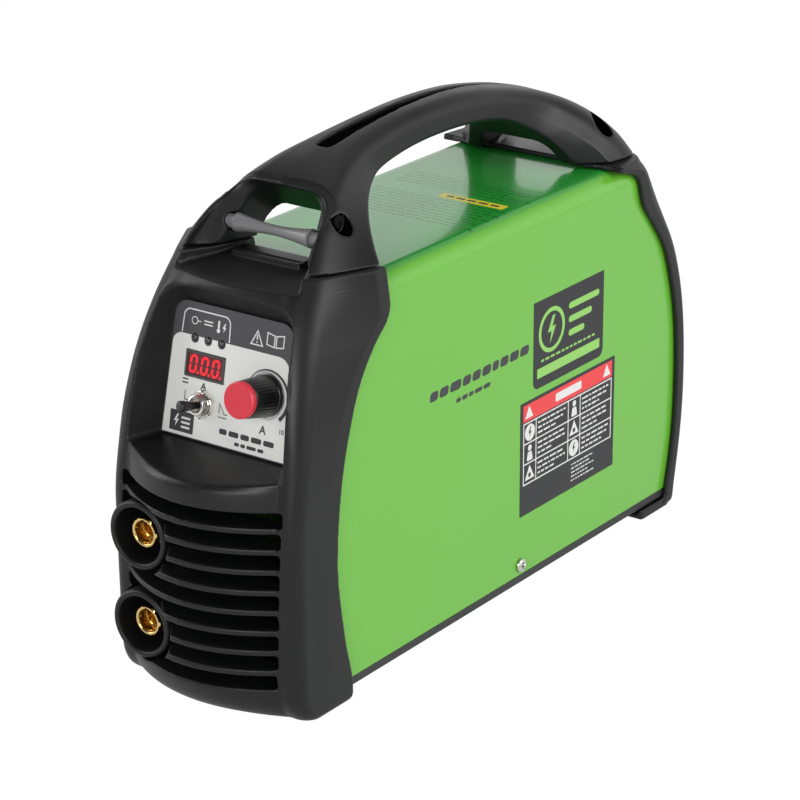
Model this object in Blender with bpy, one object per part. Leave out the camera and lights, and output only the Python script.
"""Portable stick welding inverter: green sheet cover between two moulded black
end shells, arched carry handle, front control panel, two output sockets,
and the power electronics inside.

All drawing functions work in millimetres. +X is right seen from the front,
-Y is the front, +Z is up, and Z = 0 is the surface the machine stands on.
Shape tables are written with Y = 0 at the middle of the cover's bottom edge;
point() moves them so that the finished machine is centred on the origin.
"""
import math

import bmesh
import bpy
import numpy as np
from mathutils import Matrix, Vector

# ---------------------------------------------------------------- driving sizes (mm)
MM = 0.001
Y_SHIFT = 22.2            # cover middle to the middle of the whole length
GAP = 0.3                 # clearance between touching pieces
WALL = 3.0                # moulded shell wall
HALF_WIDTH = 65.0         # shells
SEAM_Z = 239.0            # joint between the handle and the rear shell
FRONT_SEAM_Z = 242.8      # joint between the handle and the front shell

COVER_HALF = 61.5         # sheet cover, outside
COVER_TOP = 235.3
COVER_BOTTOM = 11.6
COVER_RADIUS = 12.0
SHEET = 1.2
BASE_TOP = 11.2
BASE_BOTTOM = 6.4

SLOT_COUNT = 9            # front grille
SLOT_PITCH = 11.85
SLOT_HEIGHT = 8.2
SLOT_FIRST_Z = 26.0       # centre line of the lowest slot
GRILLE_HALF = (50.5, 55.5)       # half width of the lowest and of the highest slot

SOCKET_X = -37.0          # output sockets
SOCKET_Z = (40.3, 93.4)
SOCKET_FACE_Y = -225.6
COLLAR_R = 20.0
BRASS_R = 9.0
BORE_R = 6.5

PANEL_BOTTOM = (-194.5, 143.5)   # panel back wall, (Y, Z)
PANEL_TOP = (-179.5, 218.0)
PANEL_BOTTOM_HALF = 43.5
PANEL_TOP_HALF = 41.0
LABEL_THICK = 0.8

KNOB_X, KNOB_S = 26.0, 34.8      # places on the panel: sideways, and up from its lower edge
TOGGLE_X, TOGGLE_S = -15.5, 21.2
DISPLAY_X, DISPLAY_S = -17.0, 41.8
DISPLAY_SIZE = (27.0, 14.5)
LAMP_X = (-25.7, -16.5, -7.1)
LAMP_S = 56.3
LAMP_R = 1.8

FAN_Z = 74.0
FAN_Y = (134.0, 158.0)
FAN_HALF = 46.0
FAN_BLADES = 7

REAR_SLOT_COUNT = 7
SWITCH_X, GLAND_X, INLET_Z = 20.0, -22.0, 148.0
REAR_POCKET_Y = 166.0

BASE_SCREW_X = 38.0       # base plate to shells
FRONT_SCREW_Y, REAR_SCREW_Y = -176.0, 164.0
COVER_SCREW = (2.0, 18.0)        # (Y, Z) on each side
FRONT_LAP, REAR_LAP = 6.0, 3.0   # how far the cover runs on inside each shell
WELL_R = 6.3              # screw wells in the sides of the handle
WELLS = (("front", -139.3, 263.6, 37.0), ("rear", 115.0, 258.5, 31.0))   # (Y, Z), depth limit in X


# ---------------------------------------------------------------- helpers
def point(x, y, z):
    return Vector((x * MM, (y + Y_SHIFT) * MM, z * MM))


def smooth_table(*rows):
    """Monotone cubic through (position, value) rows, so a shape never overshoots its points."""
    at, value = (np.array(column, float) for column in zip(*rows))
    step = np.diff(at)
    slope = np.diff(value) / step
    tangent = np.concatenate(([slope[0]], (slope[:-1] + slope[1:]) / 2, [slope[-1]]))
    for i, s in enumerate(slope):
        if s == 0:
            tangent[i] = tangent[i + 1] = 0
        else:
            for j in (i, i + 1):
                tangent[j] = s * min(max(tangent[j] / s, 0.0), 3.0)

    def read(t):
        t = min(max(t, at[0]), at[-1])
        i = min(int(np.searchsorted(at, t, side="right")) - 1, len(step) - 1)
        u = (t - at[i]) / step[i]
        return float(value[i] * (1 + 2 * u) * (1 - u) ** 2 + value[i + 1] * u * u * (3 - 2 * u)
                     + step[i] * (tangent[i] * u * (1 - u) ** 2 + tangent[i + 1] * u * u * (u - 1)))
    return read


def fillet(before, corner, after, radius, steps):
    """Points of a round corner between two straight lines, in a plane."""
    a, c, b = (np.array(p, float) for p in (before, corner, after))
    u = (a - c) / np.linalg.norm(a - c)
    v = (b - c) / np.linalg.norm(b - c)
    half = math.acos(float(np.clip(u @ v, -1, 1))) / 2
    reach = min(radius / math.tan(half), 0.98 * np.linalg.norm(a - c), 0.98 * np.linalg.norm(b - c))
    radius = reach * math.tan(half)
    bisector = (u + v) / np.linalg.norm(u + v)
    centre = c + bisector * radius / math.sin(half)
    start, end = c + u * reach - centre, c + v * reach - centre
    turn = math.atan2(start[0] * end[1] - start[1] * end[0], float(start @ end))
    points = []
    for k in range(steps + 1):
        t = turn * k / steps
        points.append(centre + [start[0] * math.cos(t) - start[1] * math.sin(t),
                                start[0] * math.sin(t) + start[1] * math.cos(t)])
    return points


def rounded(corners, radii, steps=4):
    """Closed outline with each corner rounded by its own radius."""
    outline = []
    for i, corner in enumerate(corners):
        after = corners[(i + 1) % len(corners)]
        if radii[i] > 0:
            outline += fillet(corners[i - 1], corner, after, radii[i], steps)
        else:
            outline.append(np.array(corner, float))
    return outline


def material(name, colour, roughness, metallic=0.0):
    made = bpy.data.materials.new(name)
    made.use_nodes = True
    shader = made.node_tree.nodes["Principled BSDF"]
    shader.inputs["Base Color"].default_value = (*colour, 1.0)
    shader.inputs["Roughness"].default_value = roughness
    shader.inputs["Metallic"].default_value = metallic
    made.diffuse_color = (*colour, 1.0)
    return made


def add(name, mesh_builder, finish=None):
    """Make an object from a bmesh, with its faces pointing out."""
    bmesh.ops.recalc_face_normals(mesh_builder, faces=mesh_builder.faces)
    mesh = bpy.data.meshes.new(name)
    mesh_builder.to_mesh(mesh)
    mesh_builder.free()
    thing = bpy.data.objects.new(name, mesh)
    bpy.context.collection.objects.link(thing)
    if finish is not None:
        mesh.materials.append(finish)
        mesh.shade_smooth()
        mesh.set_sharp_from_angle(angle=math.radians(32))
    return thing


def loft(name, rings, finish=None):
    """Skin a stack of rings that have the same number of points, and close both ends."""
    built = bmesh.new()
    levels = [[built.verts.new(p) for p in ring] for ring in rings]
    for low, high in zip(levels, levels[1:]):
        for i in range(len(low)):
            j = (i + 1) % len(low)
            built.faces.new((low[i], low[j], high[j], high[i]))
    built.faces.new(levels[0][::-1])
    built.faces.new(levels[-1])
    return add(name, built, finish)


def extrude(name, outline, place, finish=None):
    """Prism: place(a, b, end) puts an outline point at end 0 or 1."""
    return loft(name, [[place(a, b, end) for a, b in outline] for end in (0, 1)], finish)


def block(name, low, high, finish=None, chamfer=0.0):
    (x0, y0, z0), (x1, y1, z1) = low, high
    outline = rounded([(x0, y0), (x1, y0), (x1, y1), (x0, y1)], [chamfer] * 4, 1)
    return extrude(name, outline, lambda a, b, end: point(a, b, (z0, z1)[end]), finish)


def turned(name, profile, frame, finish=None, sides=24):
    """Solid of revolution: profile rows are (height, radius) along the frame's local Z."""
    rings = []
    for height, radius in profile:
        rings.append([frame @ (Vector((radius * math.cos(2 * math.pi * k / sides),
                                       radius * math.sin(2 * math.pi * k / sides), height)) * MM)
                      for k in range(sides)])
    return loft(name, rings, finish)


def ring_solid(name, profile, frame, finish=None, sides=24):
    """Turned ring with a bore: profile is a closed outline of (height, radius)."""
    built = bmesh.new()
    loops = []
    for k in range(sides):
        c, s = math.cos(2 * math.pi * k / sides), math.sin(2 * math.pi * k / sides)
        loops.append([built.verts.new(frame @ (Vector((r * c, r * s, h)) * MM)) for h, r in profile])
    for k in range(sides):
        here, following = loops[k], loops[(k + 1) % sides]
        for i in range(len(profile)):
            j = (i + 1) % len(profile)
            built.faces.new((here[i], here[j], following[j], following[i]))
    return add(name, built, finish)


def hex_nut(name, spot, low, high, corner_r, bore_r, finish):
    nut = turned(name, [(low, corner_r), (high, corner_r)], spot, finish, sides=6)
    cut(nut, turned(name + "_bore_tool", [(low - 2, bore_r), (high + 2, bore_r)], spot, sides=16))


def frame_at(x, y, z, direction, up=(0, 0, 1)):
    """Local frame whose Z points along direction."""
    axis = Vector(direction).normalized()
    side = Vector(up).cross(axis)
    if side.length < 1e-6:
        side = Vector((1, 0, 0))
    side.normalize()
    turned_up = axis.cross(side)
    basis = Matrix((side, turned_up, axis)).transposed().to_4x4()
    basis.translation = point(x, y, z)
    return basis


def combine(target, tool, operation):
    step = target.modifiers.new(tool.name, "BOOLEAN")
    step.operation = operation
    step.solver = "EXACT"
    step.object = tool
    tool.hide_render = True
    tool.display_type = "WIRE"


def cut(target, *tools):
    for tool in tools:
        combine(target, tool, "DIFFERENCE")


def add_screw_posts(shell, tag, y):
    """Two hollow posts on a shell's floor, for the screws that come down through the base plate."""
    for side in (-1, 1):
        spot = frame_at(side * BASE_SCREW_X, y, 0, (0, 0, 1))
        combine(shell, turned("%s_post_tool_%d" % (tag, side), [(2, 4.6), (BASE_BOTTOM - GAP, 4.6)], spot, sides=12),
                "UNION")
        cut(shell, turned("%s_post_bore_tool_%d" % (tag, side), [(2.5, 2.0), (12, 2.0)], spot, sides=10))


# ---------------------------------------------------------------- front shell shape
front_seam = smooth_table((0, -165), (40, -173), (85, -178.5), (130, -174), (160, -166), (185, -155.5),
                          (203, -141.5), (212, -132), (220, -129.3), (231, -130.8), (242.8, -133))
front_post = smooth_table((0, -204), (3, -208), (8, -212), (18, -215), (105, -216), (141, -211.8),
                          (187, -203), (219, -191.5), (242.8, -177))
front_nose = smooth_table((0, -214.5), (3, -222), (8, -228.5), (15, -232.6), (26, -235), (60, -235.4),
                          (126, -234.2), (135.5, -233.2), (141, -227.3), (160, -214), (228, -190), (242.8, -179.5))
front_half = smooth_table((0, 65), (105, 65), (150, 64.4), (180, 60.8), (195, 58.3), (207, 56), (218, 53.5),
                          (229, 50), (242.8, 44.5))
front_radius = smooth_table((0, 9), (105, 9), (187, 14), (219, 18), (242.8, 20))
front_crown = smooth_table((0, 52), (187, 52), (219, 40), (242.8, 29))
STRAIGHT = 10.0           # straight stretch of a shell's side next to the cover
FRONT_LEVELS = (0, 0.8, 3, 7, 13, 26, 60, 105, 126, 135.5, 141, 150, 165, 180, 195, 207, 218, 229, 237)


def foot_inset(z, foot):
    """How far a shell's rounded foot pulls in at height z."""
    rise = max(foot - z, 0.0)
    return foot - math.sqrt(foot ** 2 - rise ** 2)


def end_outline(z, inset, seam, post, nose, half, radius, crown, foot, back, steps=4, across=9):
    """Plan outline of an end shell at height z, from the right seam round the nose to the left."""
    inset = inset + foot_inset(z, foot)
    sign = -1 if nose(z) < 0 else 1
    front = post(z) - sign * inset
    tip = nose(z) - sign * inset
    width = half(z) - inset
    side = HALF_WIDTH - inset
    turn = seam(z) + sign * min(STRAIGHT, 0.4 * abs(front - seam(z)))
    start = back if back is not None else seam(z)
    right = fillet((side, turn), (width, front), (0, front), max(radius(z) - inset, 2.0), steps)
    crown_half = crown(z) - inset * 0.5
    bow = [(x, tip + (front - tip) * (x / crown_half) ** 2)
             for x in np.linspace(crown_half, -crown_half, across)]
    right = [(side, start), (side, turn)] + [tuple(p) for p in right if p[0] > crown_half]
    while len(right) < steps + 3:
        right.append(((right[-1][0] + crown_half) / 2, (right[-1][1] + front) / 2))
    left = [(-x, y) for x, y in reversed(right)]
    return right + bow + left


def shell_solid(name, levels, shape, inset=0.0, back=None, finish=None):
    rings = []
    for z in levels:
        rings.append([point(x, y, z) for x, y in end_outline(z, inset, *shape, back)])
    return loft(name, rings, finish)


def tunnel(name, y0, y1, top):
    """Space that the cover occupies inside a shell, with its rounded upper edges."""
    edge = COVER_HALF + GAP
    outline = rounded([(-edge, WALL), (edge, WALL), (edge, top), (-edge, top)],
                      [3, 3, COVER_RADIUS, COVER_RADIUS])
    return extrude(name, outline, lambda a, b, end: point(a, (y0, y1)[end], b))


FRONT_SHAPE = (front_seam, front_post, front_nose, front_half, front_radius, front_crown, 3.0)


def on_panel(x, s, out=0.0):
    """Point on the leaning panel: x sideways, s up the slope, out along its outward normal."""
    lean = math.atan2(PANEL_TOP[0] - PANEL_BOTTOM[0], PANEL_TOP[1] - PANEL_BOTTOM[1])
    y = PANEL_BOTTOM[0] + s * math.sin(lean) - out * math.cos(lean)
    z = PANEL_BOTTOM[1] + s * math.cos(lean) + out * math.sin(lean)
    return x, y, z


PANEL_NORMAL = Vector((0, -1, (PANEL_TOP[0] - PANEL_BOTTOM[0]) / (PANEL_TOP[1] - PANEL_BOTTOM[1]))).normalized()
PANEL_LENGTH = math.hypot(PANEL_TOP[0] - PANEL_BOTTOM[0], PANEL_TOP[1] - PANEL_BOTTOM[1])


def panel_frame(x, s, out=0.0):
    return frame_at(*on_panel(x, s, out), PANEL_NORMAL)


def panel_pocket(name, grow):
    """Recess in front of the panel: it widens towards the front."""
    lower, upper = PANEL_BOTTOM_HALF + grow, PANEL_TOP_HALF + grow
    back = rounded([(-lower, -grow), (lower, -grow), (upper, PANEL_LENGTH + grow), (-upper, PANEL_LENGTH + grow)],
                   [2 + grow, 2 + grow, 9 + grow, 9 + grow])
    front_low, front_top = (-212.0, 140.8), (-186.0, 227.2)
    low_half, top_half = 54.0 + grow, 44.5 + grow
    front_length = math.hypot(front_top[0] - front_low[0], front_top[1] - front_low[1])
    front = rounded([(-low_half, -grow), (low_half, -grow), (top_half, front_length + grow),
                     (-top_half, front_length + grow)], [3 + grow, 3 + grow, 13 + grow, 13 + grow])
    along = ((front_top[0] - front_low[0]) / front_length, (front_top[1] - front_low[1]) / front_length)
    rings = [[], []]
    for (ax, s), (bx, t) in zip(back, front):
        start = np.array(on_panel(ax, s, -grow))
        end = np.array((bx, front_low[0] + t * along[0], front_low[1] + t * along[1]))
        reach = 2.4
        rings[0].append(point(*start))
        rings[1].append(point(*(start + (end - start) * reach)))
    return loft(name, rings)


def slot_cutter(name, x0, x1, y0, y1, z, height):
    outline = rounded([(x0, z - height / 2), (x1, z - height / 2), (x1, z + height / 2), (x0, z + height / 2)],
                      [0.8] * 4, 1)
    return extrude(name, outline, lambda a, b, end: point(a, (y0, y1)[end], b))


# Sloping floor between the feet of the handle: plan of its right half (X, Y), a height and the slope in Y.
FRONT_FLOOR = (((25, -139), (32, -158), (40, -172), (46, -196)), (-154.5, 238.3), 0.125)
REAR_FLOOR = (((27, 105), (33, 118), (40, 134), (43, 160)), (105.0, 237.9), -0.12)


def floor_space(name, floor, wall=0.0):
    """Space above a sloping floor; wall makes it wider and deeper."""
    half, (y0, z0), slope = floor
    plan = [(x + wall, y) for x, y in half] + [(-x - wall, y) for x, y in reversed(half)]
    return extrude(name, plan, lambda a, b, end: point(a, b, (z0 + (b - y0) * slope - wall, 252)[end]))


def make_front_shell(plastic):
    shell = shell_solid("front_shell", FRONT_LEVELS + (FRONT_SEAM_Z - GAP,), FRONT_SHAPE, finish=plastic)
    cut(shell, floor_space("front_floor_tool", FRONT_FLOOR))
    ledge = [(-23.5, -155), (23.5, -155), (23.0, -141), (-23.0, -141)]
    combine(shell, extrude("front_ledge_tool", ledge, lambda a, b, end: point(a, b, (230, 241.3)[end])), "UNION")
    hollow = shell_solid("front_hollow_tool", (WALL, 6, 11.3, 15, 60, 105, 126, 141, 165, 187, 203, 218, 228, 235.6),
                         FRONT_SHAPE, inset=WALL, back=-90)
    combine(hollow, tunnel("front_tunnel_tool", -240, -80, COVER_TOP + GAP), "INTERSECT")
    cut(hollow, panel_pocket("front_pocket_wall_tool", WALL), floor_space("front_floor_wall_tool", FRONT_FLOOR, WALL),
        block("front_grille_wall_tool", (-57, -240, 15), (57, -207, 131)))
    cut(shell, hollow, panel_pocket("front_pocket_tool", 0.0),
        block("front_notch_tool", (-24.5, -140.7, 234), (24.5, -100, 250)))
    for k in range(SLOT_COUNT):
        z = SLOT_FIRST_Z + k * SLOT_PITCH
        half = GRILLE_HALF[0] + (GRILLE_HALF[1] - GRILLE_HALF[0]) * k / (SLOT_COUNT - 1)
        cut(shell, slot_cutter("front_slot_tool_%d" % k, -half, half, -245, -200, z, SLOT_HEIGHT))
    for k, z in enumerate(SOCKET_Z):
        hole = turned("socket_hole_tool_%d" % k, [(-1, COLLAR_R + 1.2), (60, COLLAR_R + 1.2)],
                      frame_at(SOCKET_X, -196, z, (0, -1, 0)))
        cut(shell, hole)
    cut(shell, turned("knob_hole_tool", [(-9, 4.2), (9, 4.2)], panel_frame(KNOB_X, KNOB_S), sides=12),
        turned("toggle_hole_tool", [(-9, 6.2), (9, 6.2)], panel_frame(TOGGLE_X, TOGGLE_S), sides=12),
        panel_box("display_hole_tool", DISPLAY_X, DISPLAY_S, DISPLAY_SIZE[0] + 0.8, DISPLAY_SIZE[1] + 0.8, -9, 9))
    for k, x in enumerate(LAMP_X):
        cut(shell, turned("lamp_hole_tool_%d" % k, [(-9, LAMP_R + 0.3), (9, LAMP_R + 0.3)],
                          panel_frame(x, LAMP_S), sides=10))
    add_screw_posts(shell, "front", FRONT_SCREW_Y)
    return shell


def panel_box(name, x, s, width, height, out0, out1, finish=None):
    outline = [(x - width / 2, s - height / 2), (x + width / 2, s - height / 2),
               (x + width / 2, s + height / 2), (x - width / 2, s + height / 2)]
    return extrude(name, outline, lambda a, b, end: point(*on_panel(a, b, (out0, out1)[end])), finish)


# ---------------------------------------------------------------- rear shell
rear_seam = smooth_table((0, 161), (42, 170), (80, 172.5), (123, 170), (151, 163.5), (177, 153), (196, 138.5),
                         (207, 129.5), (216, 125.5), (224, 123), (231.4, 116), (235.3, 101.5), (239, 91))
rear_post = smooth_table((0, 176), (80, 185.5), (114, 184), (145, 179.3), (178, 169), (207, 154), (239, 135))
rear_nose = smooth_table((0, 181), (80, 191), (114, 190), (145, 185), (178, 175), (207, 160), (239, 139.5))
rear_half = smooth_table((0, 65), (145, 65), (207, 62), (239, 61))
rear_radius = smooth_table((0, 8), (145, 9), (207, 16), (239, 18))
rear_crown = smooth_table((0, 52), (178, 52), (207, 46), (239, 42))
REAR_SHAPE = (rear_seam, rear_post, rear_nose, rear_half, rear_radius, rear_crown, 4.0)
REAR_LIP_TRIM = ((38.5, 80), (38.5, 92), (47, 99.5), (57, 102), (70, 102), (70, 80))
REAR_LEVELS = (0, 0.8, 3, 7, 15, 40, 80, 114, 130, 145, 160, 178, 193, 207, 218, 229)


def make_rear_shell(plastic):
    shell = shell_solid("rear_shell", REAR_LEVELS + (SEAM_Z - GAP,), REAR_SHAPE, finish=plastic)
    combine(shell, block("rear_foot_tool", (-64, 135, 0), (64, 168, BASE_BOTTOM - GAP)), "UNION")
    hollow = shell_solid("rear_hollow_tool", (WALL, 7, 15, 60, 100, 130, 160, 185, 207, 220, 235.6),
                         REAR_SHAPE, inset=WALL, back=80)
    combine(hollow, tunnel("rear_tunnel_tool", 70, 240, COVER_TOP + GAP), "INTERSECT")
    cut(hollow, block("rear_pocket_wall_tool", (-49, REAR_POCKET_Y - WALL, 125), (49, 240, 171), chamfer=6),
        floor_space("rear_floor_wall_tool", REAR_FLOOR, WALL))
    cut(shell, hollow,
        block("rear_pocket_tool", (-46, REAR_POCKET_Y, 128), (46, 240, 168), chamfer=1),
        block("rear_notch_tool", (-33, 60, 234), (33, 102, 250)), floor_space("rear_floor_tool", REAR_FLOOR))
    for side in (-1, 1):
        corner = [(side * a, b) for a, b in REAR_LIP_TRIM]
        cut(shell, extrude("rear_lip_tool_%d" % side, corner, lambda a, b, end: point(a, b, (COVER_TOP + GAP, 250)[end])))
    for k in range(REAR_SLOT_COUNT):
        z = FAN_Z + (k - (REAR_SLOT_COUNT - 1) / 2) * SLOT_PITCH
        cut(shell, slot_cutter("rear_slot_tool_%d" % k, -42, 42, 172, 240, z, SLOT_HEIGHT))
    cut(shell, block("switch_hole_tool", (SWITCH_X - 13.5, 150, INLET_Z - 9.5),
                     (SWITCH_X + 13.5, 180, INLET_Z + 9.5)),
        turned("gland_hole_tool", [(-8, 8.3), (8, 8.3)], frame_at(GLAND_X, REAR_POCKET_Y, INLET_Z, (0, 1, 0)),
               sides=16))
    add_screw_posts(shell, "rear", REAR_SCREW_Y)
    return shell


# ---------------------------------------------------------------- carry handle
# Stations along the arch: outer line, inner line (Y, Z), outer and inner half width, outer corner radius,
# and how far the side swells out at a third of the depth.
HANDLE_STATIONS = (
    ((-177.0, 243.1), (-133.0, 243.1), 44.5, 64.0, 20.0, 0.0),
    ((-171.0, 252.0), (-128.0, 249.5), 42.5, 56.5, 19.0, 0.0),
    ((-158.5, 265.0), (-119.0, 258.5), 38.5, 46.0, 17.0, 0.0),
    ((-141.0, 276.8), (-107.0, 266.3), 31.5, 36.0, 14.0, 0.0),
    ((-118.0, 286.3), (-92.0, 271.5), 25.0, 27.0, 12.0, 0.0),
    ((-90.0, 291.8), (-75.0, 274.8), 20.2, 20.8, 11.0, 0.0),
    ((-55.0, 295.3), (-47.0, 278.0), 17.8, 18.0, 10.5, 0.0),
    ((-18.0, 296.7), (-18.0, 279.2), 17.3, 17.5, 10.5, 0.0),
    ((20.0, 294.9), (15.0, 277.8), 17.3, 17.5, 10.5, 0.0),
    ((58.0, 288.6), (45.0, 273.0), 19.0, 19.0, 10.5, 0.0),
    ((91.5, 279.6), (65.0, 264.5), 26.0, 23.0, 11.0, 0.6),
    ((115.5, 267.5), (77.0, 256.0), 41.0, 29.0, 15.0, 2.5),
    ((130.0, 253.5), (84.5, 247.5), 54.0, 34.0, 17.0, 5.5),
    ((138.0, 239.2), (90.0, 239.2), 61.0, 38.0, 17.0, 8.3),
)
HANDLE_CROWN = 2.0
INNER_RADIUS = 3.0


def handle_rings(inset, per_span=2):
    """Cross-sections along the arch, each a rounded trapezoid."""
    table = np.array([[*o, *i, wo, wi, r, b] for o, i, wo, wi, r, b in HANDLE_STATIONS])
    readers = [smooth_path(table[:, c]) for c in range(table.shape[1])]
    rings = []
    for t in np.linspace(0, len(table) - 1, (len(table) - 1) * per_span + 1):
        oy, oz, iy, iz, outer, inner, radius, belly = (read(t) for read in readers)
        depth = math.hypot(oy - iy, oz - iz)
        dy, dz = (oy - iy) / depth, (oz - iz) / depth
        outer, inner = outer - inset, inner - inset
        low, high = inset, depth - inset
        swell = (inner + (outer - inner) / 3 + belly, low + (high - low) / 3)
        corners = [(inner, low), swell, (outer, high), (0, high + HANDLE_CROWN), (-outer, high),
                   (-swell[0], swell[1]), (-inner, low)]
        inner_corner, outer_corner = max(INNER_RADIUS - inset, 2), max(radius - inset, 3)
        radii = [inner_corner, 0, outer_corner, 0, outer_corner, 0, inner_corner]
        ring = rounded(corners, radii, 3)
        rings.append([point(x, iy + d * dy, iz + d * dz) for x, d in ring])
    return rings


def smooth_path(value):
    """Catmull-Rom reading of evenly spaced values."""
    def read(t):
        i = int(min(max(math.floor(t), 0), len(value) - 2))
        u = t - i
        p1, p2 = value[i], value[i + 1]
        p0 = value[i - 1] if i > 0 else 2 * p1 - p2
        p3 = value[i + 2] if i + 2 < len(value) else 2 * p2 - p1
        return float(0.5 * (2 * p1 + (p2 - p0) * u + (2 * p0 - 5 * p1 + 4 * p2 - p3) * u * u
                            + (3 * p1 - p0 - 3 * p2 + p3) * u ** 3))
    return read


def window(name, foot, head, foot_half, head_half, direction, flare, grow):
    """Opening through a handle root: a rounded trapezoid swept along direction.

    flare rows are (travel along the direction, share of the full width)."""
    length = math.hypot(head[0] - foot[0], head[1] - foot[1])
    uy, uz = (head[0] - foot[0]) / length, (head[1] - foot[1]) / length
    outline = rounded([(-foot_half - grow, -grow), (foot_half + grow, -grow),
                       (head_half + grow, length + grow), (-head_half - grow, length + grow)],
                      [6 + grow, 6 + grow, 13 + grow, 13 + grow], 4)
    rings = []
    for travel, scale in flare:
        rings.append([point(x * scale, foot[0] + s * uy + travel * direction[0],
                            foot[1] + s * uz + travel * direction[1]) for x, s in outline])
    return loft(name, rings)


FRONT_WINDOW = dict(foot=(-181.0, 229.0), head=(-138.0, 277.0), foot_half=46.0, head_half=31.0,
                    direction=(0.75, -0.66), flare=((-25, 1.0), (0, 1.0), (7, 0.77), (28, 0.62), (75, 0.30)))
REAR_WINDOW = dict(foot=(142.0, 229.0), head=(114.0, 263.0), foot_half=42.0, head_half=24.0,
                   direction=(-0.96, -0.28), flare=((-25, 1.03), (75, 0.87)))
BAR_Y, BAR_Z = -146.0, 254.0
BAR_HALF = 31.5


def make_handle(plastic):
    handle = loft("carry_handle", handle_rings(0.0), plastic)
    hollow = loft("handle_hollow_tool", extended(handle_rings(WALL, 1)))
    cut(hollow, window("front_window_wall_tool", grow=WALL, **FRONT_WINDOW),
        window("rear_window_wall_tool", grow=WALL, **REAR_WINDOW))
    cut(handle, hollow, window("front_window_tool", grow=0.0, **FRONT_WINDOW),
        window("rear_window_tool", grow=0.0, **REAR_WINDOW))
    half = [(0.5, 47), (1.6, 10), (3.0, -27), (4.4, -67), (5.6, -106), (5.0, -111.5), (3.2, -114)]
    groove = half + [(-a, b) for a, b in reversed(half)]
    cut(handle, extrude("top_slot_tool", groove, lambda a, b, end: point(a, b, (284 + b * 0.02, 310)[end])))
    for side in (-1, 1):
        for tag, y, z, x in WELLS:
            spot = frame_at(side * x, y, z, (side, 0, 0))
            cut(hollow, turned("%s_well_wall_tool_%d" % (tag, side), [(-5, WELL_R + 2.4), (40, WELL_R + 2.4)],
                               spot, sides=16))
            cut(handle, turned("%s_well_tool_%d" % (tag, side), [(0, WELL_R), (40, WELL_R)], spot, sides=16),
                turned("%s_well_bore_tool_%d" % (tag, side), [(-3.4, 2.0), (5, 2.0)], spot, sides=10))
    cut(handle, turned("bar_hole_tool", [(-BAR_HALF - 1, 4.4), (-26.5, 4.4), (-26.5, 6.1), (26.5, 6.1),
                                         (26.5, 4.4), (BAR_HALF + 1, 4.4)], frame_at(0, BAR_Y, BAR_Z, (1, 0, 0)), sides=14))
    return handle


def extended(rings):
    """Carry the end rings a little further, so that the hollow opens at both feet."""
    first = [p + Vector((0, 0, -0.003)) for p in rings[0]]
    last = [p + Vector((0, 0, -0.003)) for p in rings[-1]]
    return [first] + rings[1:-1] + [last]


# ---------------------------------------------------------------- strap bar, cover and base
def make_strap_bar(plastic):
    """Waisted bar across the front window, for a shoulder strap."""
    flare = [(-BAR_HALF, 4.0), (-26.0, 4.0), (-25.7, 5.5), (-19, 4.4), (-10, 3.4), (0, 3.0)]
    profile = flare + [(-h, r) for h, r in reversed(flare[:-1])]
    turned("strap_bar", profile, frame_at(0, BAR_Y, BAR_Z, (1, 0, 0)), plastic, sides=14)


def cover_path():
    """Outer and inner points of the cover's section, from its right lower edge over to the left."""
    side = [(COVER_HALF, z) for z in (COVER_BOTTOM, 45, 85, 130, 160, 185, 203, 214)]
    corner = fillet(side[0], (COVER_HALF, COVER_TOP), (0, COVER_TOP), COVER_RADIUS, 4)
    outer = side + [tuple(p) for p in corner] + [(0, COVER_TOP)]
    inner_side = [(COVER_HALF - SHEET, z) for x, z in side]
    inner_corner = fillet(inner_side[0], (COVER_HALF - SHEET, COVER_TOP - SHEET), (0, COVER_TOP - SHEET),
                          COVER_RADIUS - SHEET, 4)
    inner = inner_side + [tuple(p) for p in inner_corner] + [(0, COVER_TOP - SHEET)]
    half = list(zip(outer, inner))
    return half + [((-a[0], a[1]), (-b[0], b[1])) for a, b in reversed(half[:-1])]


def make_cover(paint):
    rings = []
    for (ox, oz), (ix, iz) in cover_path():
        front, rear = front_seam(oz) - FRONT_LAP, rear_seam(oz) + REAR_LAP
        rings.append([point(ox, front, oz), point(ox, rear, oz), point(ix, rear, iz), point(ix, front, iz)])
    cover = loft("cover", rings, paint)
    for side in (-1, 1):
        cut(cover, turned("cover_screw_hole_tool_%d" % side, [(-4, 2.4), (4, 2.4)],
                          frame_at(side * COVER_HALF, *COVER_SCREW, (side, 0, 0)), sides=10))


def make_base_plate(steel):
    """Folded tray: floor, two upright flanges, and a tongue that reaches into each shell."""
    lip, flange = COVER_HALF - 0.2, COVER_HALF - SHEET - 0.4
    floor = BASE_BOTTOM + 1.5
    half = [(lip, BASE_BOTTOM), (lip, BASE_TOP), (flange, BASE_TOP), (flange, 34), (flange - 1.5, 34),
            (flange - 1.5, floor)]
    outline = half + [(-x, z) for x, z in reversed(half)]
    base = extrude("base_plate", outline, lambda a, b, end: point(a, (-170, 166)[end], b), steel)
    combine(base, block("base_tongue_tool", (-50, -186, BASE_BOTTOM), (50, 171, floor)), "UNION")
    for side in (-1, 1):
        cut(base, turned("flange_hole_tool_%d" % side, [(-6, 2.2), (4, 2.2)],
                         frame_at(side * flange, *COVER_SCREW, (side, 0, 0)), sides=10))
        for tag, y in (("front", FRONT_SCREW_Y), ("rear", REAR_SCREW_Y)):
            cut(base, turned("%s_base_hole_tool_%d" % (tag, side), [(-3, 2.2), (5, 2.2)],
                             frame_at(side * BASE_SCREW_X, y, floor, (0, 0, 1)), sides=10))


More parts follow.
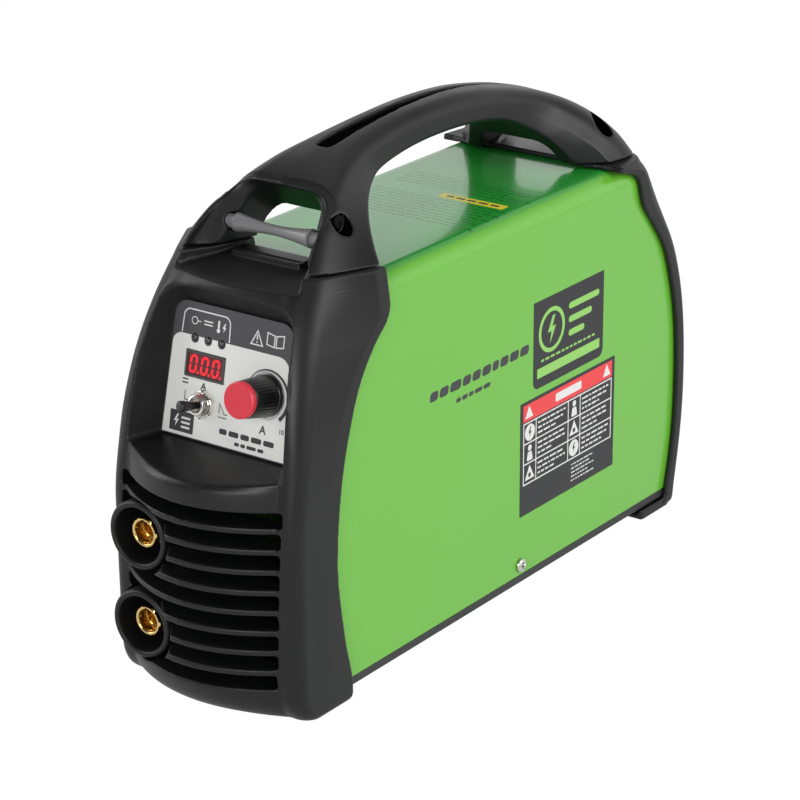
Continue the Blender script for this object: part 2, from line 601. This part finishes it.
def make_screws(steel):
    """Pan-head screws: shank below the head's seat, at height 0."""
    def screw(name, spot, head_r, head_h, shank_r, shank):
        turned(name, [(-shank, shank_r), (GAP, shank_r), (GAP, head_r), (head_h * 0.55, head_r),
                      (head_h, head_r * 0.62)], spot, steel, sides=14)

    sides = ((1, "right"), (-1, "left"))
    for side, word in sides:
        screw("cover_screw_" + word, frame_at(side * COVER_HALF, *COVER_SCREW, (side, 0, 0)), 4.2, 2.6, 1.8, 7.0)
        for tag, y in (("front", FRONT_SCREW_Y), ("rear", REAR_SCREW_Y)):
            screw("base_screw_%s_%s" % (tag, word),
                  frame_at(side * BASE_SCREW_X, y, BASE_BOTTOM + 1.5, (0, 0, 1)), 3.8, 2.6, 1.7, 4.9)
        for tag, y, z, x in WELLS:
            screw("handle_screw_%s_%s" % (tag, word), frame_at(side * x, y, z, (side, 0, 0)), 3.8, 2.2, 1.6, 3.0)


# ---------------------------------------------------------------- control panel
def make_panel(looks):
    length = PANEL_LENGTH
    low, top = PANEL_BOTTOM_HALF - 0.6, PANEL_TOP_HALF - 0.6
    outline = rounded([(-low, 0.6), (low, 0.6), (top, length - 0.6), (-top, length - 0.6)], [1, 1, 8.5, 8.5])
    label = extrude("panel_label", outline,
                    lambda a, b, end: point(*on_panel(a, b, (GAP, GAP + LABEL_THICK)[end])), looks["label"])
    cut(label, turned("label_knob_tool", [(-2, 4.6), (4, 4.6)], panel_frame(KNOB_X, KNOB_S), sides=12),
        turned("label_toggle_tool", [(-2, 6.4), (4, 6.4)], panel_frame(TOGGLE_X, TOGGLE_S), sides=12),
        panel_box("label_display_tool", DISPLAY_X, DISPLAY_S, DISPLAY_SIZE[0] + 0.6, DISPLAY_SIZE[1] + 0.6, -2, 4))
    for k, x in enumerate(LAMP_X):
        cut(label, turned("label_lamp_tool_%d" % k, [(-2, LAMP_R + 0.3), (4, LAMP_R + 0.3)],
                          panel_frame(x, LAMP_S), sides=10))
    for name, x in zip(("power_lamp", "voltage_lamp", "fault_lamp"), LAMP_X):
        turned(name, [(-8, LAMP_R), (1.0, LAMP_R), (1.7, LAMP_R * 0.8), (2.1, LAMP_R * 0.3)],
               panel_frame(x, LAMP_S), looks["lamp"], sides=10)
    panel_box("display_window", DISPLAY_X, DISPLAY_S, *DISPLAY_SIZE, -2.6, 1.6, looks["red_window"])
    panel_box("display_module", DISPLAY_X, DISPLAY_S, 26.0, 14.0, -11.5, -3.4, looks["dark_part"])
    outline = [(-37, 2), (37, 2), (36, 71), (-36, 71)]
    extrude("control_board", outline, lambda a, b, end: point(*on_panel(a, b, (-18.4, -16.8)[end])),
            looks["board"])


TOGGLE_PIVOT = 6.0
TOGGLE_TILT = math.radians(12)


def make_toggle(looks):
    spot = panel_frame(TOGGLE_X, TOGGLE_S)
    body = turned("toggle_body", [(-6, 5.8), (7.6, 5.8), (8.4, 5.0), (8.4, 4.2), (3.0, 3.4)], spot,
                  looks["chrome"], sides=20)
    combine(body, panel_box("toggle_case_tool", TOGGLE_X, TOGGLE_S, 13, 8, -14, -3.6), "UNION")
    ring_solid("toggle_nut", [(1.5, 6.2), (1.5, 8.2), (3.4, 8.2), (4.2, 7.4), (4.2, 6.2)], spot,
               looks["chrome"], sides=18)
    pivot = panel_frame(TOGGLE_X, TOGGLE_S, TOGGLE_PIVOT)
    lean = Matrix.Rotation(TOGGLE_TILT, 4, panel_up())
    pivot = Matrix.Translation(pivot.translation) @ lean.inverted() @ pivot.to_3x3().to_4x4()
    turned("toggle_lever", [(-1.2, 1.4), (0, 1.9), (3, 1.8), (4, 2.3), (12.2, 3.1), (13.0, 2.4)], pivot,
           looks["dark_part"], sides=14)


def panel_up():
    return Vector((0, PANEL_TOP[0] - PANEL_BOTTOM[0], PANEL_TOP[1] - PANEL_BOTTOM[1])).normalized()


def make_knob(looks):
    spot = panel_frame(KNOB_X, KNOB_S)
    turned("potentiometer", [(-16, 8.5), (-3.6, 8.5), (-3.6, 3.8), (2.0, 3.8), (2.0, 3.0), (15.5, 3.0)], spot,
           looks["steel"], sides=20)
    ring_solid("knob_disc", [(1.5, 4.6), (1.5, 13.0), (2.3, 13.0), (2.3, 4.6)], spot, looks["steel"], sides=28)
    turned("knob_body", [(16.5, 3.3), (2.8, 3.3), (2.8, 11.2), (4.0, 11.4), (21.4, 10.2), (21.4, 8.3), (19.0, 8.3)],
           spot, looks["dark_part"], sides=28)
    turned("knob_cap", [(19.4, 7.9), (21.8, 7.9), (21.8, 10.2), (24.2, 10.0), (25.0, 9.1)], spot,
           looks["red_plastic"], sides=28)


# ---------------------------------------------------------------- output sockets
def make_sockets(looks):
    for word, z in zip(("lower", "upper"), SOCKET_Z):
        spot = frame_at(SOCKET_X, SOCKET_FACE_Y, z, (0, -1, 0))
        ring_solid("socket_collar_" + word,
                   [(-32, BRASS_R + GAP), (-32, COLLAR_R), (-1.2, COLLAR_R), (0, COLLAR_R - 1.2), (0, 17.0),
                    (-0.8, 16.2), (-24, 15.4), (-24, BRASS_R + GAP)], spot, looks["plastic"], sides=32)
        brass = turned("socket_brass_" + word,
                       [(-50, 5.0), (-36, 5.0), (-36, BRASS_R), (-6.6, BRASS_R), (-5.6, BRASS_R - 0.9),
                        (-5.6, BORE_R), (-30, BORE_R)], spot, looks["brass"], sides=24)
        cut(brass, block("key_tool_" + word, (SOCKET_X - 1.6, -221, z + 4), (SOCKET_X + 1.6, -206, z + 7.8)))
        hex_nut("socket_nut_" + word, spot, -46.6, -41.6, 9.0, 5.3, looks["brass"])
        y = SOCKET_FACE_Y + 37
        bar = block("output_bar_" + word, (SOCKET_X - 8.5, y, z - 9), (SOCKET_X + 8.5, y + 2, z + 12.0), looks["copper"])
        ends = {"lower": -74, "upper": -80}
        combine(bar, block("bar_tail_tool_" + word, (SOCKET_X - 8.5, y, z + 10.0),
                           (SOCKET_X + 8.5, ends[word], z + 12.0)), "UNION")
        cut(bar, turned("bar_hole_tool_" + word, [(-6, 5.3), (6, 5.3)], frame_at(SOCKET_X, y, z, (0, 1, 0)), sides=12))


# ---------------------------------------------------------------- power electronics
HEATSINK_FOOT, HEATSINK_TOP = BASE_BOTTOM + 1.9, 88.0
BOARD_Z = (95.0, 96.6)
FIN_PITCH, FIN_THICK = 7.0, 2.0


def make_electronics(looks):
    for side, word in ((1, "right"), (-1, "left")):
        low, high = sorted((side * 8.0, side * 52.0))
        comb = [(low, HEATSINK_TOP), (low, HEATSINK_FOOT)]
        x = low
        while x + FIN_PITCH < high:
            comb += [(x + FIN_THICK, HEATSINK_FOOT), (x + FIN_THICK, HEATSINK_TOP - 6), (x + FIN_PITCH, HEATSINK_TOP - 6),
                     (x + FIN_PITCH, HEATSINK_FOOT)]
            x += FIN_PITCH
        comb += [(high, HEATSINK_FOOT), (high, HEATSINK_TOP)]
        extrude("heatsink_" + word, comb, lambda a, b, end: point(a, (-68, 118)[end], b), looks["aluminium"])
        block("power_transistor_" + word, (side * 30 - 15, 40, HEATSINK_TOP + GAP), (side * 30 + 15, 100, 94.6),
              looks["dark_part"])
    block("output_diode_module", (15, -40, HEATSINK_TOP + GAP), (45, 20, 94.6), looks["dark_part"])
    block("main_board", (-54, -95, BOARD_Z[0]), (54, 122, BOARD_Z[1]), looks["board"], chamfer=3)
    top = BOARD_Z[1] + GAP
    for word, y in (("front", -58), ("rear", -22)):
        turned("capacitor_" + word, [(0, 14.6), (1.2, 15), (44, 15), (45, 14)], frame_at(-34, y, top, (0, 0, 1)),
               looks["sleeve"], sides=20)
    block("input_rectifier", (-50, 26, top), (-18, 58, top + 10), looks["dark_part"], chamfer=2)
    ring_solid("output_choke", [(2, 12), (0, 15), (0, 25), (4, 28), (22, 28), (26, 25), (26, 15), (24, 12)],
               frame_at(22, -50, top, (0, 0, 1)), looks["copper"], sides=24)
    core = block("transformer_core", (-8, 14, top), (52, 46, top + 50), looks["ferrite"])
    cut(core, block("core_window_tool_0", (2, 0, top + 8), (13.5, 60, top + 42)),
        block("core_window_tool_1", (30.5, 0, top + 8), (42, 60, top + 42)))
    winding = block("transformer_winding", (2.6, 4, top + 8.6), (41.4, 56, top + 41.4), looks["tape"], chamfer=3)
    cut(winding, block("leg_tool", (13.0, 13.4, top), (31.0, 46.6, top + 50)))


# ---------------------------------------------------------------- fan, mains switch and cable inlet
def make_fan(looks):
    y0, y1 = FAN_Y
    frame = block("fan_frame", (-FAN_HALF, y0, FAN_Z - FAN_HALF), (FAN_HALF, y1, FAN_Z + FAN_HALF),
                  looks["dark_part"])
    axis = frame_at(0, y1, FAN_Z, (0, 1, 0))
    cut(frame, turned("fan_duct_tool", [(-40, 43.5), (10, 43.5)], axis, sides=36))
    combine(frame, turned("fan_boss_tool", [(-4, 17), (-0.5, 17)], axis, sides=20), "UNION")
    for k in range(2):
        strut = extrude("fan_strut_tool_%d" % k, [(-45, -2), (45, -2), (45, 2), (-45, 2)],
                        lambda a, b, end, t=math.radians(45 + 90 * k): point(
                            a * math.cos(t) - b * math.sin(t), (y1 - 3.5, y1 - 0.8)[end],
                            FAN_Z + a * math.sin(t) + b * math.cos(t)))
        combine(frame, strut, "UNION")
    rotor = turned("fan_rotor", [(-22, 15.5), (-21, 17), (-5.0, 17)], axis, looks["dark_part"], sides=28)
    for k in range(FAN_BLADES):
        combine(rotor, fan_blade("fan_blade_tool_%d" % k, 2 * math.pi * k / FAN_BLADES), "UNION")


def fan_blade(name, turn):
    """Twisted blade from inside the hub out to the tip."""
    rings = []
    for radius, pitch, chord in ((15.5, 42, 17), (28, 33, 22), (41.5, 25, 25)):
        ring = []
        for along, thick in ((-0.5, 0.5), (0.5, 0.5), (0.5, -0.5), (-0.5, -0.5)):
            a, t = along * chord, thick * 1.4
            across = a * math.cos(math.radians(pitch)) - t * math.sin(math.radians(pitch))
            depth = a * math.sin(math.radians(pitch)) + t * math.cos(math.radians(pitch))
            angle = turn + across / radius
            ring.append(point(radius * math.cos(angle), FAN_Y[1] - 13.2 + depth, FAN_Z + radius * math.sin(angle)))
        rings.append(ring)
    return loft(name, rings)


ROCKER_PIVOT_Y = REAR_POCKET_Y - 1.0
ROCKER_TILT = math.radians(9)


def make_rear_fittings(looks):
    x, y, z = SWITCH_X, REAR_POCKET_Y, INLET_Z
    body = block("power_switch_body", (x - 13, y - 22, z - 9), (x + 13, y + 1, z + 9), looks["dark_part"])
    combine(body, block("switch_bezel_tool", (x - 15.5, y + GAP, z - 11.5), (x + 15.5, y + 2.2, z + 11.5)), "UNION")
    cut(body, block("switch_cavity_tool", (x - 11.4, y - 9, z - 8), (x + 11.4, y + 9, z + 8)))
    lean = Matrix.Rotation(ROCKER_TILT, 3, "X")
    section = [(-5.5, -4.2), (3.2, -6.6), (4.6, -6.3), (3.0, 0), (4.6, 6.3), (3.2, 6.6), (-5.5, 4.2)]

    def on_rocker(a, b, end):
        off = lean @ Vector((0, a, b))
        return point(x + (-11.0, 11.0)[end], ROCKER_PIVOT_Y + off.y, z + off.z)
    extrude("power_rocker", section, on_rocker, looks["dark_part"])

    spot = frame_at(GLAND_X, y, z, (0, 1, 0))
    ring_solid("cable_gland", [(-14, 4.5), (-14, 8.0), (GAP, 8.0), (GAP, 11.0), (4.5, 11.0), (5.2, 10.0), (13, 9.4),
                               (17, 7.2), (17, 4.5)], spot, looks["dark_part"], sides=18)
    hex_nut("gland_nut", spot, -8.5, -3.4, 12.5, 8.3, looks["dark_part"])


# ---------------------------------------------------------------- side labels
def make_side_labels(looks):
    panels = {"rating_label": ((1.0, 103.0), (48.5, 120.0), 0.5), "badge_label": ((14.0, 89.0), (124.5, 178.4), 5.0)}
    for name, ((y0, y1), (z0, z1), corner) in panels.items():
        outline = rounded([(y0, z0), (y1, z0), (y1, z1), (y0, z1)], [corner, corner, 0, 0], 3)
        for side, word in ((1, "right"), (-1, "left")):
            x = COVER_HALF + GAP
            extrude("%s_%s" % (name, word), outline,
                    lambda a, b, end, side=side: point(side * (x, x + 0.4)[end], a, b), looks["label"])


LOOKS = {
    "plastic": ((0.030, 0.030, 0.034), 0.5, 0.0),
    "cover_paint": ((0.26, 0.56, 0.11), 0.3, 0.0),
    "base_steel": ((0.05, 0.05, 0.055), 0.5, 0.6),
    "steel": ((0.62, 0.62, 0.62), 0.3, 1.0),
    "chrome": ((0.75, 0.74, 0.72), 0.15, 1.0),
    "brass": ((0.78, 0.56, 0.25), 0.25, 1.0),
    "copper": ((0.72, 0.38, 0.22), 0.35, 1.0),
    "aluminium": ((0.70, 0.71, 0.72), 0.4, 1.0),
    "dark_part": ((0.02, 0.02, 0.022), 0.45, 0.0),
    "red_plastic": ((0.72, 0.05, 0.07), 0.35, 0.0),
    "red_window": ((0.35, 0.01, 0.02), 0.1, 0.0),
    "lamp": ((0.25, 0.25, 0.25), 0.2, 0.0),
    "label": ((0.55, 0.55, 0.53), 0.4, 0.0),
    "board": ((0.03, 0.22, 0.10), 0.5, 0.0),
    "sleeve": ((0.05, 0.07, 0.20), 0.35, 0.0),
    "ferrite": ((0.06, 0.06, 0.06), 0.7, 0.0),
    "tape": ((0.70, 0.55, 0.12), 0.5, 0.0),
}


def main():
    for old in list(bpy.data.objects):
        bpy.data.objects.remove(old, do_unlink=True)
    looks = {name: material(name, *values) for name, values in LOOKS.items()}
    make_front_shell(looks["plastic"])
    make_rear_shell(looks["plastic"])
    make_handle(looks["plastic"])
    make_strap_bar(looks["plastic"])
    make_cover(looks["cover_paint"])
    make_base_plate(looks["base_steel"])
    make_screws(looks["steel"])
    make_panel(looks)
    make_toggle(looks)
    make_knob(looks)
    make_sockets(looks)
    make_electronics(looks)
    make_fan(looks)
    make_rear_fittings(looks)
    make_side_labels(looks)


main()
